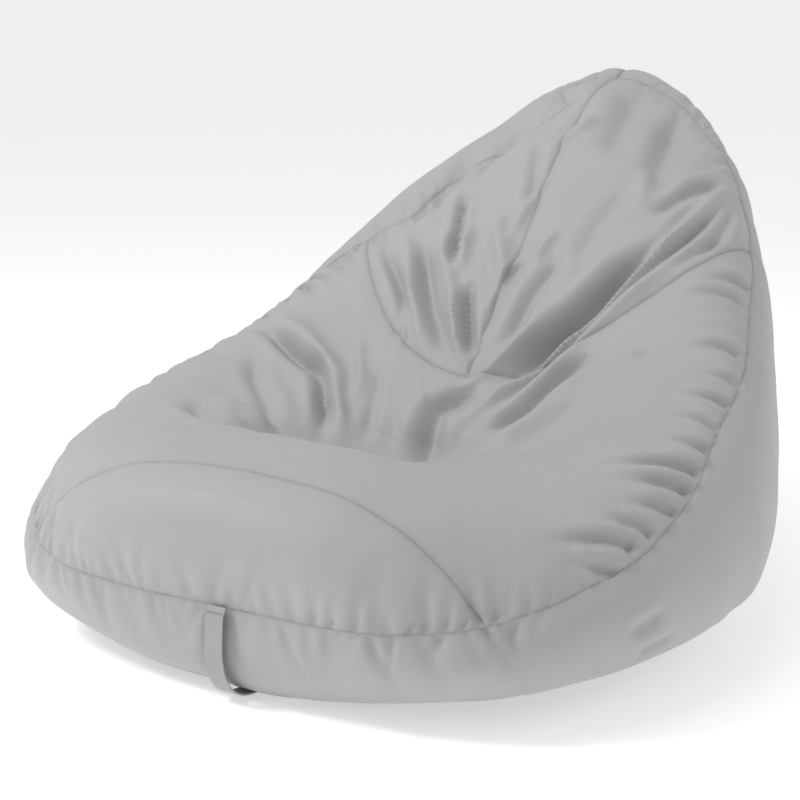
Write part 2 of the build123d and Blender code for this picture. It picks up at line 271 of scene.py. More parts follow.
def cut(bag, place, normal, warp=None):
    """Cut edges into the whole mesh along a plane. With warp, a function of the points that
    gives a shift along one axis, the cut follows where the shifted mesh meets the plane."""
    if warp:
        points = points_of(bag.data)
        axis, shift = warp(points)
        points[:, axis] -= shift
        put_points(bag.data, points)
    only(bag)
    bpy.ops.object.mode_set(mode="EDIT")
    bpy.ops.mesh.select_all(action="SELECT")
    bpy.ops.mesh.bisect(plane_co=place, plane_no=normal, threshold=2e-4)
    bpy.ops.object.mode_set(mode="OBJECT")
    if warp:
        points = points_of(bag.data)
        axis, shift = warp(points)
        points[:, axis] += shift
        put_points(bag.data, points)


def cut_seams(bag):
    """Give the mesh edges along its seams, and round the zip's opening."""
    cut(bag, (0, 0, 0), (1, 0, 0))
    cut(bag, (0, 0, FLOOR_SEAM), (0, 0, 1))
    cut(bag, (0, ARC_SEAM_Y, 0), (0, 1, 0))
    cut(bag, (0, 0, 0), (0, 0, 1), lambda p: (2, rim_height(p)))
    cut(bag, (0, 0, 0), (0, 1, 0), lambda p: (1, back_seam_y(p[:, 0])))
    for side in (-1, 1):
        cut(bag, (side * ZIP_GAP / 2, 0, 0), (1, 0, 0))
    for up in (0, ZIP_LENGTH):
        cut(bag, ZIP_FOOT + ZIP_UP * up, ZIP_UP)


PANELS = ["front_panel", "seat_panel", "backrest_panel_left", "backrest_panel_right",
          "side_panel_left", "side_panel_right", "base_panel", "zip_opening"]


def panel_at(p):
    """The number of the panel that holds each point."""
    x, y, z = p.T
    in_hollow = (np.abs(x) < HOLLOW[0]) & (y > HOLLOW[1]) & (y < HOLLOW[2]) & (z > 0.12)
    upper = (z > rim_height(p)) | in_hollow
    panel = np.where(x < 0, 4, 5)
    panel = np.where(upper, 1, panel)
    panel = np.where(upper & (y < ARC_SEAM_Y), 0, panel)
    behind = upper & (y > back_seam_y(x))
    panel = np.where(behind, np.where(x < 0, 2, 3), panel)
    panel = np.where(z < FLOOR_SEAM, 6, panel)
    up = (p - np.array(ZIP_FOOT)) @ np.array(ZIP_UP)
    slot = (np.abs(x) < ZIP_GAP / 2) & (y > 0.3) & (up > 0) & (up < ZIP_LENGTH) & ~upper
    return np.where(slot, 7, panel)


def seam_points(p):
    """Which vertices lie on each seam."""
    x, y, z = p.T
    near = 3e-4
    rim = np.abs(z - rim_height(p)) < near
    in_hollow = (np.abs(x) < HOLLOW[0]) & (y > HOLLOW[1]) & (y < HOLLOW[2])
    upper = (z > rim_height(p) - near) | in_hollow
    return {
        "rim": rim & ~in_hollow,
        "arc": (np.abs(y - ARC_SEAM_Y) < near) & upper,
        "back": (np.abs(y - back_seam_y(x)) < near) & upper & (np.abs(x) < 0.3),
        "centre": (np.abs(x) < near) & upper & (y > BACK_SEAM_MIDDLE),
        "lower": (np.abs(x) < near) & ~upper & (z > FLOOR_SEAM),
        "base": np.abs(z - FLOOR_SEAM) < near,
    }


def distance_to(points, targets, reach):
    """Distance from each point to the nearest target, or reach where that is further."""
    tree = KDTree(len(targets))
    for k, target in enumerate(targets):
        tree.insert(target, k)
    tree.balance()
    found = np.full(len(points), reach)
    low, high = targets.min(0) - reach, targets.max(0) + reach
    for k in np.flatnonzero(((points > low) & (points < high)).all(1)):
        found[k] = min(reach, tree.find(points[k])[2])
    return found


# =============================== folds and gathers ===============================

def on_surface(route, tree):
    """A fold's route in mm, laid on the bag."""
    laid = []
    for point in smooth_route(route, 4) * MM:
        if len(point) == 2:
            hit = tree.ray_cast(Vector((point[0], point[1], 1)), Vector((0, 0, -1)))[0]
        else:
            hit = tree.find_nearest(Vector(point))[0]
        if hit is not None:
            laid.append(hit)
    return np.array(laid)


def fold_height(points, line, width, height, fade_in, fade_out):
    """What one fold adds at each point: a rounded ridge or valley that fades at its ends."""
    added = np.zeros(len(points))
    reach = 3 * width
    near = np.flatnonzero(((points > line.min(0) - reach) & (points < line.max(0) + reach)).all(1))
    if not len(near):
        return added
    share = np.linspace(0, 1, len(line))
    for part in np.array_split(near, len(near) // 4000 + 1):
        away = np.linalg.norm(points[part][:, None] - line[None], axis=2)
        nearest = away.argmin(1)
        t = share[nearest]
        fade = soft_step(t / fade_in) * soft_step((1 - t) / fade_out)
        gap = away[np.arange(len(part)), nearest]
        ends = (nearest == 0) | (nearest == len(line) - 1)
        body = hump(gap, width) - 0.26 * hump(gap - 2.2 * width, width)
        if height < 0:
            body += 0.12 * (np.exp(-gap / (0.5 * width)) - hump(gap, width))
        added[part] = np.where(ends & (gap > width), 0, height * fade * body)
    return added


def round_rim(points):
    """How far round the rim each point is, in degrees: 0 at the front, 90 at the right."""
    return np.degrees(np.arctan2(points[:, 0], -(points[:, 1] + 0.05)))


def gathers(points, seam_line, above, rng, share_of):
    """Small gathers that run away from the rim seam, on the side where above is true."""
    angle = round_rim(points)
    order = np.argsort(round_rim(seam_line))
    seam_angle = round_rim(seam_line)[order]
    steps = np.linspace(-179, 179, 240)
    track = np.array([np.interp(steps, seam_angle, seam_line[order][:, k]) for k in range(3)]).T
    length = np.concatenate([[0], np.cumsum(np.linalg.norm(np.diff(track, axis=0), axis=1))])
    along = np.interp(angle, steps, length)
    added = np.zeros(len(points))
    place = 0.0
    while place < length[-1]:
        place += rng.uniform(0.012, 0.030)
        at = np.interp(place, length, steps)
        height = -rng.uniform(3.5, 8.0) * MM * share_of(at)
        width = rng.uniform(4.0, 7.5) * MM
        slant = rng.uniform(-0.6, 0.6)
        reach = rng.uniform(0.022, 0.060)
        near = np.abs(along - place) < 0.07
        run = above[near]
        across = along[near] - place - slant * run
        shape = hump(across, width * (1 + run / 0.05)) * (1 - np.exp(-run / 0.004))
        added[near] += np.where(run > 0, height * shape * hump(run, reach), 0)
    return added


def front_share(at):
    """How strongly the rim is gathered, by how far round it is."""
    return np.interp(at, [-180, -150, -120, -60, -44, -30, -10, 12, 25, 43, 50, 90, 130, 180],
                     [0.25, 0.6, 1.7, 1.9, 1.3, 0.8, 0.5, 0.6, 1.2, 1.3, 0.5, 0.35, 0.5, 0.4])


def side_share(at):
    """The same for the side panels, which are gathered only along the front."""
    return np.interp(at, [-180, -120, -60, -44, -20, 12, 25, 43, 50, 110, 150, 180],
                     [0.4, 0.5, 0.5, 0.9, 0.7, 0.6, 1.1, 1.0, 0.12, 0.12, 0.4, 0.4])


def lumps(points, scale, seed):
    """A gentle unevenness, from -1 to 1."""
    shift = Vector((seed, 2 * seed, 3 * seed))
    return np.array([noise.noise(Vector(p) * scale + shift) for p in points])


def keep_inner_shape(bag, points, normals, moved):
    """Copy the bag as it is under its folds, so that what is inside clears every valley."""
    under = np.minimum(moved, 0)
    ends = np.empty(len(bag.data.edges) * 2, int)
    bag.data.edges.foreach_get("vertices", ends)
    a, b = ends.reshape(-1, 2).T
    for _ in range(6):
        low = under.copy()
        np.minimum.at(low, a, under[b])
        np.minimum.at(low, b, under[a])
        under = low
    inner = duplicate(bag, "inner_shape")
    put_points(inner.data, points + normals * under[:, None])
    apply_modifier(inner, "SMOOTH", factor=0.5, iterations=8)


def shape_cloth(bag):
    """Move the surface into its folds, gathers and drawn-in seams, and mark what lies deep."""
    points, normals = points_of(bag.data), normals_of(bag.data)
    seams = seam_points(points)
    tree = BVHTree.FromObject(bag, bpy.context.evaluated_depsgraph_get())
    rng = np.random.default_rng(7)
    x, y, z = points.T

    gap = {name: distance_to(points, points[on], 0.09) for name, on in seams.items() if on.any()}
    over = z - rim_height(points)
    upper = np.isin(panel_at(points), [0, 1, 2, 3])

    moved = np.zeros(len(points))
    for route, width, height in FOLDS:
        line = on_surface(route, tree)
        moved += fold_height(points, line, width * MM, height * FOLD_SCALE * MM,
                             FOLD_FADE, FOLD_FADE)
    pulled = np.zeros(len(points))
    for route, width, height in RIM_GATHERS:
        pulled += fold_height(points, on_surface(route, tree), width * MM, height * MM, 0.7, 0.12)
    moved += pulled * soft_step(over / 0.008 + 0.5)
    sunk = np.zeros(len(points))
    for route, width, height in SINKS:
        sunk += fold_height(points, on_surface(route, tree), width * MM, height * MM,
                            FOLD_FADE, FOLD_FADE)

    rim_line = points[seams["rim"]]
    inward = np.where(upper, gap["rim"], 0)
    outward = np.where(upper, 0, gap["rim"])
    moved += gathers(points, rim_line, inward, rng, front_share)
    moved += gathers(points, rim_line, outward, rng, side_share)

    moved += 0.0035 * lumps(points, 7.0, 3) + 0.0016 * lumps(points, 18.0, 5) * upper
    moved -= 0.0045 * hump(gap["rim"], 0.020) + 0.0025 * hump(gap["arc"], 0.014)
    moved -= 0.0030 * hump(gap["back"], 0.016) + 0.0025 * hump(gap["centre"], 0.014)
    moved -= 0.0020 * hump(gap["lower"], 0.012)

    up = (points - np.array(ZIP_FOOT)) @ np.array(ZIP_UP)
    at_zip = soft_step((0.055 - np.abs(x)) / 0.03) * (y > 0.3) * soft_step(up / 0.03 + 1.6)
    at_zip *= soft_step((ZIP_LENGTH + 0.05 - up) / 0.03)
    at_strap = soft_step((0.024 - np.abs(x - STRAP_X)) / 0.008) * (y < -0.3) * (z < 0.12)
    flat = soft_step(1 - (z - FLOOR_SEAM) / 0.03) * (z < 0.06)
    moved = moved * (1 - at_zip) * (1 - 0.9 * flat)
    moved = np.where(at_strap > 0, np.minimum(moved, 0) * at_strap + moved * (1 - at_strap), moved)
    moved = np.clip(moved, DEEPEST, HIGHEST) + sunk
    keep_inner_shape(bag, points, normals, moved)
    points = points + normals * moved[:, None]
    points[:, 2] = np.maximum(points[:, 2], 0)
    put_points(bag.data, points)

    stay = {name: points[on].copy() for name, on in seams.items()}
    apply_modifier(bag, "SMOOTH", factor=0.5, iterations=1)
    points = points_of(bag.data)
    for name, on in seams.items():
        points[on] = 0.5 * points[on] + 0.5 * stay[name]

    normals = normals_of(bag.data)
    nearest = np.min([gap[name] for name in gap], axis=0)
    groove = np.exp(-nearest / 0.0026) * (1 - at_zip)
    points -= normals * (SEAM_SINK * groove)[:, None]
    put_points(bag.data, points)

    # These marks darken the cover's colour: seam_near gives dust and painted shade along the seams, and
    # fold_depth gives painted shade in the folds.
    mark = bag.data.attributes.new("seam_near", "FLOAT", "POINT")
    mark.data.foreach_set("value", np.exp(-nearest / 0.004))
    deep = bag.data.attributes.new("fold_depth", "FLOAT", "POINT")
    deep.data.foreach_set("value", np.clip(-moved / 0.014, 0, 1))
    return {name: np.flatnonzero(on) for name, on in seams.items()}


def lay_cloth_grain(bag):
    """A UV map in metres along each panel's grain, and every face's panel number."""
    mesh = bag.data
    centres = np.empty(len(mesh.polygons) * 3)
    mesh.polygons.foreach_get("center", centres)
    centres = centres.reshape(-1, 3)
    panel = panel_at(centres)
    counts = np.empty(len(mesh.polygons), int)
    mesh.polygons.foreach_get("loop_total", counts)
    corner = np.empty(len(mesh.loops), int)
    mesh.loops.foreach_get("vertex_index", corner)
    at = points_of(mesh)[corner]
    which = np.repeat(panel, counts)
    slope = (at[:, 1] + at[:, 2]) * 0.707
    u = np.where(np.isin(which, [4, 5]), at[:, 1], at[:, 0])
    v = np.select([which == 0, which == 1, np.isin(which, [2, 3]), which == 6],
                  [at[:, 2] + 0.3 * at[:, 1], at[:, 1], slope, at[:, 1]], at[:, 2])
    grain = mesh.uv_layers.new(name="grain")
    grain.data.foreach_set("uv", np.stack([u, v], 1).ravel())
    mesh.polygons.foreach_set("material_index", panel)


def split_panels(bag, fabric):
    """Part the finished surface into the cover's panels, each a closed piece of cloth."""
    bag.data.materials.clear()
    for name in PANELS:
        bag.data.materials.append(bpy.data.materials.new("part_" + name))
    lay_cloth_grain(bag)
    only(bag)
    bpy.ops.object.mode_set(mode="EDIT")
    bpy.ops.mesh.separate(type="MATERIAL")
    bpy.ops.object.mode_set(mode="OBJECT")
    for part in list(bpy.context.selected_objects):
        index = part.data.polygons[0].material_index
        name = part.data.materials[index].name if index < len(part.data.materials) else None
        name = (name or part.data.materials[0].name).removeprefix("part_")
        if name == "zip_opening":
            bpy.data.objects.remove(part)
            continue
        part.name = "cover_" + name
        part.data.materials.clear()
        part.data.materials.append(fabric)
        part.data.polygons.foreach_set("material_index", np.zeros(len(part.data.polygons), int))
        apply_modifier(part, "SOLIDIFY", thickness=CLOTH, offset=-1)
        only(part)
        bpy.ops.object.shade_smooth_by_angle(angle=SMOOTH_ANGLE)
        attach(part, "bag")
        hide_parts(name)


# =============================== inner bag ===============================

LINER_VOXEL = 0.011
LINER_DEPTH = 0.0055         # from the inner shape in to the inner bag, and to the filling
BEADS_DEPTH = 0.0085
LINER_WALL = 0.0008


def inner_skins(finishes):
    """The inner bag's two halves and the filling, each inside the last."""
    core = bpy.data.objects["inner_shape"]
    core.data.materials.clear()
    while core.data.uv_layers:
        core.data.uv_layers.remove(core.data.uv_layers[0])
    apply_modifier(core, "REMESH", mode="VOXEL", voxel_size=LINER_VOXEL)
    for name, depth, halves in (("inner_bag", LINER_DEPTH, True), ("beads", BEADS_DEPTH, False)):
        skin = duplicate(core, name)
        points = points_of(skin.data) - normals_of(skin.data) * depth
        put_points(skin.data, points)
        apply_modifier(skin, "SMOOTH", factor=0.5, iterations=2)
        if not halves:
            finish_soft(skin, "bead_filling", finishes["beads"])
            continue
        for side, word in ((1, "right"), (-1, "left")):
            half = duplicate(skin, "inner_bag_" + word)
            only(half)
            bpy.ops.object.mode_set(mode="EDIT")
            bpy.ops.mesh.select_all(action="SELECT")
            bpy.ops.mesh.bisect(plane_co=(0, 0, 0), plane_no=(side, 0, 0), clear_inner=True)
            bpy.ops.object.mode_set(mode="OBJECT")
            apply_modifier(half, "SOLIDIFY", thickness=LINER_WALL, offset=-1)
            finish_soft(half, "liner_" + word, finishes["liner"])
        bpy.data.objects.remove(skin)
    bpy.data.objects.remove(core)


def finish_soft(piece, node, finish):
    """Give a piece on the bag its smooth look, its finish and its place in the frame."""
    piece.data.materials.clear()
    piece.data.materials.append(finish)
    only(piece)
    bpy.ops.object.shade_smooth_by_angle(angle=SMOOTH_ANGLE)
    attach(piece, "bag")
    if node:
        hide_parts(node)


# =============================== flat strips ===============================

def ribbon(name, route, width, wall, across=(1, 0, 0), columns=10, rounded=True):
    """A flat strip along a route, wall thick outwards, with softly rounded edges."""
    route = [Vector(p) for p in route]
    bpy.ops.object.select_all(action="DESELECT")
    bpy.ops.mesh.primitive_grid_add(x_subdivisions=columns, y_subdivisions=len(route) - 1, size=1)
    strip = bpy.context.object
    strip.name = name
    points = points_of(strip.data)
    rows = np.rint((points[:, 1] + 0.5) * (len(route) - 1)).astype(int)
    side = Vector(across)
    placed = [route[row] + side * (u * width) for (u, _, _), row in zip(points, rows)]
    put_points(strip.data, np.array(placed))
    grain = strip.data.uv_layers.active or strip.data.uv_layers.new(name="grain")
    grain.name = "grain"
    length = sum((b - a).length for a, b in zip(route, route[1:]))
    flat = np.empty(len(strip.data.loops) * 2)
    grain.data.foreach_get("uv", flat)
    flat = flat.reshape(-1, 2) * (width, length)
    grain.data.foreach_set("uv", flat.ravel())
    apply_modifier(strip, "SOLIDIFY", thickness=wall, offset=1)
    if rounded:
        apply_modifier(strip, "BEVEL", width=wall * 0.3, segments=2, limit_method="ANGLE")
    return strip


def along_back(up, out=0.0, x=0.0):
    """A place on the zip's flat: up from its foot, out from its face and across."""
    return ZIP_FOOT + ZIP_UP * up + ZIP_OUT * out + Vector((x, 0, 0))


def on_curve(points, count):
    """Evenly numbered places along a smooth curve through a few points."""
    dense = smooth_route(points, 0.0005)
    pick = np.linspace(0, len(dense) - 1, count).astype(int)
    return [tuple(dense[k]) for k in pick]


# =============================== strap ===============================

STRAP_ROUTE = [                 # side view of the carry strap, from its seam to the base
    (-0.4960, 0.1160), (-0.5015, 0.1060), (-0.5030, 0.0900), (-0.5042, 0.0720),
    (-0.5032, 0.0550), (-0.4985, 0.0370), (-0.4880, 0.0200), (-0.4720, 0.0090),
    (-0.4560, 0.0050), (-0.4360, 0.0035),
]
STRAP_TOP_Z = 0.100
STRAP_MIDDLE_Z = 0.055
STRAP_FOOT_Z = 0.0105           # below this the strap is sewn to the base
STRAP_WALL = 0.0016
TACK_Z = 0.110


def strap_pieces(finishes):
    """The carry strap: its sewn ends on the bag, and the slack run that lifts away."""
    line = on_curve([(STRAP_X, y, z) for y, z in STRAP_ROUTE], 120)
    top = next(k for k, p in enumerate(line) if p[2] < STRAP_TOP_Z)
    middle = next(k for k, p in enumerate(line) if p[2] < STRAP_MIDDLE_Z)
    foot = next(k for k, p in enumerate(line) if p[2] < STRAP_FOOT_Z)
    runs = [
        ("strap_top_end", 0, top, "strap_upper_end"),
        ("strap_run_upper", top, middle, "strap_grip"),
        ("strap_run_lower", middle, foot, "strap_grip"),
        ("strap_base_end", foot, len(line) - 1, "strap_lower_end"),
    ]
    for name, start, end, node in runs:
        piece = ribbon(name, line[start:end + 1], STRAP_WIDTH, STRAP_WALL, across=(-1, 0, 0),
                       columns=14, rounded=False)
        piece.data.materials.clear()
        piece.data.materials.append(finishes["strap"])
        only(piece)
        bpy.ops.object.shade_smooth_by_angle(angle=math.radians(40))
        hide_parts(node)
        if name == "strap_run_upper":
            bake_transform(piece)
        elif name == "strap_run_lower":
            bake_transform(piece)
        else:
            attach(piece, "bag")
    return line


# =============================== stitches ===============================

STITCH_SPACING = 0.0042
STITCH_LENGTH = 0.0030
STITCH_THICK = 0.00035


def tube_faces(rings, base=0):
    """Faces of a capped tube whose six-sided rings start at vertex base."""
    faces = [(base + k * 6 + j, base + k * 6 + (j + 1) % 6,
              base + k * 6 + 6 + (j + 1) % 6, base + k * 6 + 6 + j)
             for k in range(rings - 1) for j in range(6)]
    last = base + (rings - 1) * 6
    return faces + [tuple(range(base + 5, base - 1, -1)), tuple(range(last, last + 6))]


def thread_stitch():
    """One stitch along x, one unit long and one in radius, as points and faces."""
    ring = [(math.cos(a), math.sin(a)) for a in np.linspace(0, 2 * math.pi, 6, endpoint=False)]
    stations = [(-0.5, 0.35, -0.6), (-0.3, 1.0, 0.2), (0.3, 1.0, 0.2), (0.5, 0.35, -0.6)]
    verts = [(x, r * c, r * s + lift) for x, r, lift in stations for c, s in ring]
    return np.array(verts), tube_faces(len(stations))


def stitch_row(name, places, runs, ups, length, thick, finish, node=None):
    """A row of stitches: one at each place, lying along its run and standing up its up."""
    verts, faces = thread_stitch()
    all_verts, all_faces = [], []
    for k, (place, run, up) in enumerate(zip(places, runs, ups)):
        side = np.cross(up, run)
        side /= max(np.linalg.norm(side), 1e-9)
        high = np.cross(run, side)
        basis = np.stack([run * length, side * thick, high * thick])
        all_verts.append(verts @ basis + place)
        all_faces += [tuple(i + k * len(verts) for i in face) for face in faces]
    mesh = bpy.data.meshes.new(name)
    mesh.from_pydata(np.vstack(all_verts).tolist(), [], all_faces)
    row = bpy.data.objects.new(name, mesh)
    bpy.context.scene.collection.objects.link(row)
    finish_soft(row, node, finish)


def unit(v):
    """The same direction, one long."""
    return v / np.maximum(np.linalg.norm(v, axis=-1, keepdims=True), 1e-12)


def seam_stitching(bag, seams, finishes):
    """Rows of stitches along the arc, rim and backrest seams."""
    points, normals = points_of(bag.data), normals_of(bag.data)
    tree = KDTree(len(points))
    for k, p in enumerate(points):
        tree.insert(p, k)
    tree.balance()
    for name, key in (("arc", 0), ("back", 0), ("centre", 1), ("rim", None)):
        chosen = seams[name]
        chosen = chosen[points[chosen][:, 2] > 0.02]
        p, n = points[chosen], normals[chosen]
        order = np.argsort(round_rim(p)) if key is None else np.argsort(p[:, key])
        p, n = p[order], n[order]
        gaps = np.linalg.norm(np.diff(p, axis=0), axis=1)
        walk = np.concatenate([[0], np.cumsum(np.minimum(gaps, 0.02))])
        at = np.arange(0.004, walk[-1] - 0.004, STITCH_SPACING)
        place = np.array([np.interp(at, walk, p[:, k]) for k in range(3)]).T
        ahead = np.array([np.interp(at + 0.006, walk, p[:, k]) for k in range(3)]).T
        behind = np.array([np.interp(at - 0.006, walk, p[:, k]) for k in range(3)]).T
        up = unit(np.array([np.interp(at, walk, n[:, k]) for k in range(3)]).T)
        run = unit(ahead - behind)
        stitch_row("stitches_" + name, place + up * 0.0002, run, up, STITCH_LENGTH, STITCH_THICK,
                   finishes["thread"])


def bar_tack(line, finishes):
    """The close zigzag that holds the strap's upper end."""
    anchor = min(line, key=lambda p: abs(p[2] - TACK_Z))
    xs = np.linspace(-0.0105, 0.0105, 22)
    places = np.array([(STRAP_X + x, anchor[1] - 0.0018, anchor[2]) for x in xs])
    runs = unit(np.array([(0.35 * (-1) ** k, -0.4, 1.0) for k in range(len(xs))]))
    ups = np.tile((0, -1.0, 0), (len(xs), 1))
    stitch_row("strap_tack_stitches", places, runs, ups, 0.0026, 0.0004, finishes["thread"],
               "strap_bar_tack")


# =============================== zip, label and closing strip ===============================

CLOSING_WIDTH = 0.022
CLOSING_WALL = 0.0009
ZIP_TAPE_WIDTH = 0.015
ZIP_TAPE_WALL = 0.0006
ZIP_TAPE_OUT = -0.0036       # how far out from the flat's face the tape lies
ZIP_TAPE_LAP = 0.010         # how far the tapes run on past either end
TOOTH_PITCH = 0.0014
TOOTH_END = 0.0050           # from the zip's ends to the first and last tooth
TOOTH_OUT = -0.003
# One tooth from its head to its foot: place across the zip, radius and lift.
TOOTH_RINGS = ((-0.0001, 0.0003, 0.0012), (0.0006, 0.00055, 0.0013),
               (0.0018, 0.00042, 0.0013), (0.0028, 0.00042, 0.0002))


def teeth_mesh(name, turn, ups):
    """A row of coil teeth at these heights; turn gives the side that their feet lie on."""
    ring = np.linspace(0, 2 * math.pi, 7)[:-1]
    verts, faces = [], []
    for up in ups:
        faces += tube_faces(len(TOOTH_RINGS), len(verts))
        for u, r, lift in TOOTH_RINGS:
            for a in ring:
                verts.append(along_back(up + r * math.cos(a), TOOTH_OUT + lift + r * math.sin(a),
                                        turn * u))
    mesh = bpy.data.meshes.new(name)
    mesh.from_pydata([tuple(v) for v in verts], [], faces)
    coil = bpy.data.objects.new(name, mesh)
    bpy.context.scene.collection.objects.link(coil)
    only(coil)
    bpy.ops.object.mode_set(mode="EDIT")
    bpy.ops.mesh.select_all(action="SELECT")
    bpy.ops.mesh.normals_make_consistent(inside=False)
    bpy.ops.object.mode_set(mode="OBJECT")
    return coil


def zip_pieces(finishes):
    """Tapes and coils of the back zip; its metal parts keep their own shapes."""
    for turn, word, shift in ((1, "right", 0), (-1, "left", TOOTH_PITCH / 2)):
        route = [along_back(up, ZIP_TAPE_OUT, turn * 0.0076)
                 for up in np.linspace(-ZIP_TAPE_LAP, ZIP_LENGTH + ZIP_TAPE_LAP, 90)]
        tape = ribbon("zip_cloth_" + word, route, ZIP_TAPE_WIDTH, ZIP_TAPE_WALL,
                      across=(-1, 0, 0), columns=8)
        finish_soft(tape, "zip_tape_" + word, finishes["tape"])
        ups = np.arange(TOOTH_END, ZIP_LENGTH - TOOTH_END, TOOTH_PITCH) + shift
        coil = teeth_mesh("zip_teeth_" + word, turn, ups)
        finish_soft(coil, "zip_coil_" + word, finishes["coil"])
    for node in ("zip_slider", "zip_pull", "zip_top_stop", "zip_bottom_stop"):
        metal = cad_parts[node]
        metal.data.materials.clear()
        metal.data.materials.append(finishes["metal"])


def label_piece(finishes):
    """A blank care label, sewn on by one end."""
    low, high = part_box("care_label")
    low, high = Vector(low), Vector(high)
    middle = (low.x + high.x) / 2
    foot = (low.z - ZIP_FOOT.z) / ZIP_UP.z
    top = (high.z - ZIP_FOOT.z) / ZIP_UP.z
    ups = np.linspace(foot, top, 24)
    bow = [0.0004 + 0.0022 * math.sin(math.pi * k / 23) ** 2 for k in range(24)]
    route = [along_back(up, out, middle) for up, out in zip(ups, bow)]
    label = ribbon("care_tag", route, high.x - low.x, 0.0004, across=(-1, 0, 0), columns=14)
    finish_soft(label, "care_label", finishes["label"])


def closing_strip(finishes):
    """The strip that closes the inner bag."""
    low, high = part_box("liner_closing_strip")
    ups = np.linspace(0, (high[2] - low[2]) / ZIP_UP.z, 50)
    route = [along_back(up, -0.0068, 0) for up in ups]
    strip = ribbon("inner_closing_strip", route, CLOSING_WIDTH, CLOSING_WALL,
                   across=(-1, 0, 0), columns=10)
    finish_soft(strip, "liner_closing_strip", finishes["closing"])


# =============================== finishes ===============================

class Reading:
    """A number in a material, so that shader maths reads as plain arithmetic."""

    def __init__(self, finish, socket):
        self.finish, self.socket = finish, socket

    def _with(self, operation, other, swapped=False):
        pair = (other, self) if swapped else (self, other)
        return self.finish.maths(operation, *pair)

    def __add__(self, other): return self._with("ADD", other)
    def __radd__(self, other): return self._with("ADD", other, True)
    def __sub__(self, other): return self._with("SUBTRACT", other)
    def __rsub__(self, other): return self._with("SUBTRACT", other, True)
    def __mul__(self, other): return self._with("MULTIPLY", other)
    def __rmul__(self, other): return self._with("MULTIPLY", other, True)


class Finish:
    """One material under construction."""

    def __init__(self, name, **constants):
        self.material = bpy.data.materials.new(name)
        self.material.use_nodes = True
        self.tree = self.material.node_tree
        self.shader = self.tree.nodes["Principled BSDF"]
        for socket, value in constants.items():
            self.shader.inputs[socket.replace("_", " ")].default_value = value

    def node(self, kind, settings=None, **sockets):
        """Add a node: its settings first, then the values or links of its sockets."""
        made = self.tree.nodes.new(kind)
        for key, value in (settings or {}).items():
            setattr(made, key, value)
        for key, value in sockets.items():
            socket = made.inputs[int(key[1:]) if key[0] == "i" and key[1:].isdigit()
                                 else key.replace("_", " ")]
            if isinstance(value, Reading):
                self.tree.links.new(value.socket, socket)
            else:
                socket.default_value = value
        return made

    def read(self, made, output=0):
        """One output of a node."""
        return Reading(self, made.outputs[output])

    def maths(self, operation, a, b):
        """One sum on two numbers."""
        return self.read(self.node("ShaderNodeMath", {"operation": operation}, i0=a, i1=b))

    def wave(self, phase):
        """A sine of a number, from -1 to 1."""
        return self.read(self.node("ShaderNodeMath", {"operation": "SINE"}, i0=phase))

    def cloudy(self, scale, detail=3.0, place=None):
        """Soft noise over the piece, from 0 to 1."""
        place = place or self.read(self.node("ShaderNodeTexCoord"), "Object")
        return self.read(self.node("ShaderNodeTexNoise", None, Vector=place, Scale=scale,
                                   Detail=detail), "Fac")

    def mark(self, name):
        """A number that the mesh carries."""
        return self.read(self.node("ShaderNodeAttribute", {"attribute_name": name}), "Fac")

    def grain(self):
        """The two directions of the cloth, in metres."""
        place = self.read(self.node("ShaderNodeUVMap", {"uv_map": "grain"}))
        parts = self.node("ShaderNodeSeparateXYZ", None, Vector=place)
        return self.read(parts, "X"), self.read(parts, "Y")

    def blend(self, share, dark, light):
        """A colour between two, by share."""
        mixed = self.node("ShaderNodeMix", {"data_type": "RGBA"})
        for slot, value in ((0, share), (6, dark), (7, light)):
            if isinstance(value, Reading):
                self.tree.links.new(value.socket, mixed.inputs[slot])
            else:
                mixed.inputs[slot].default_value = value
        return Reading(self, mixed.outputs[2])

    def feed(self, socket, value):
        """Link a reading to the shader."""
        self.tree.links.new(value.socket, self.shader.inputs[socket])

    def relief(self, height, distance, strength=1.0):
        """Bump from a height."""
        made = self.node("ShaderNodeBump", None, Height=height, Distance=distance, Strength=strength)
        self.feed("Normal", self.read(made))


def weave(finish, pitch):
    """Height of a plain weave, threads pitch apart, from about -1 to 1."""
    u, v = finish.grain()
    turn = 2 * math.pi / pitch
    return finish.wave(u * turn) * finish.wave(v * turn)


def cover_fabric(name, tone, pitch, rough=0.52):
    """Smooth satin nylon: a fine tight weave, a soft sheen, and a darker colour along the seams and in
    the folds: dust with painted shade in the seam grooves, and painted shade in the folds.
    """
    cloth = Finish(name, Sheen_Weight=0.18, Sheen_Roughness=0.45, Specular_IOR_Level=0.42)
    threads = weave(cloth, pitch)
    drift = cloth.cloudy(5.0)
    fine = cloth.cloudy(900.0, 2.0)
    light = tuple(c * 1.05 for c in tone) + (1,)
    dark = tuple(c * 0.92 for c in tone) + (1,)
    # Painted shade: groove is the darker tone that the colour is drawn towards by seam_near (dust and
    # painted shade along the seams) and by fold_depth (painted shade in the folds).
    groove = tuple(c * 0.66 for c in tone) + (1,)
    base = cloth.blend(drift * 0.7 + fine * 0.2 + threads * 0.05, dark, light)
    drawn = cloth.blend(cloth.mark("seam_near") * 0.38 + cloth.mark("fold_depth") * 0.08, base, groove)
    cloth.feed("Base Color", drawn)
    cloth.feed("Roughness", drift * 0.10 + (threads * 0.03 + (rough - 0.05)))
    cloth.relief(threads * 0.6 + fine * 0.5, 0.00012, 0.5)
    return cloth.material


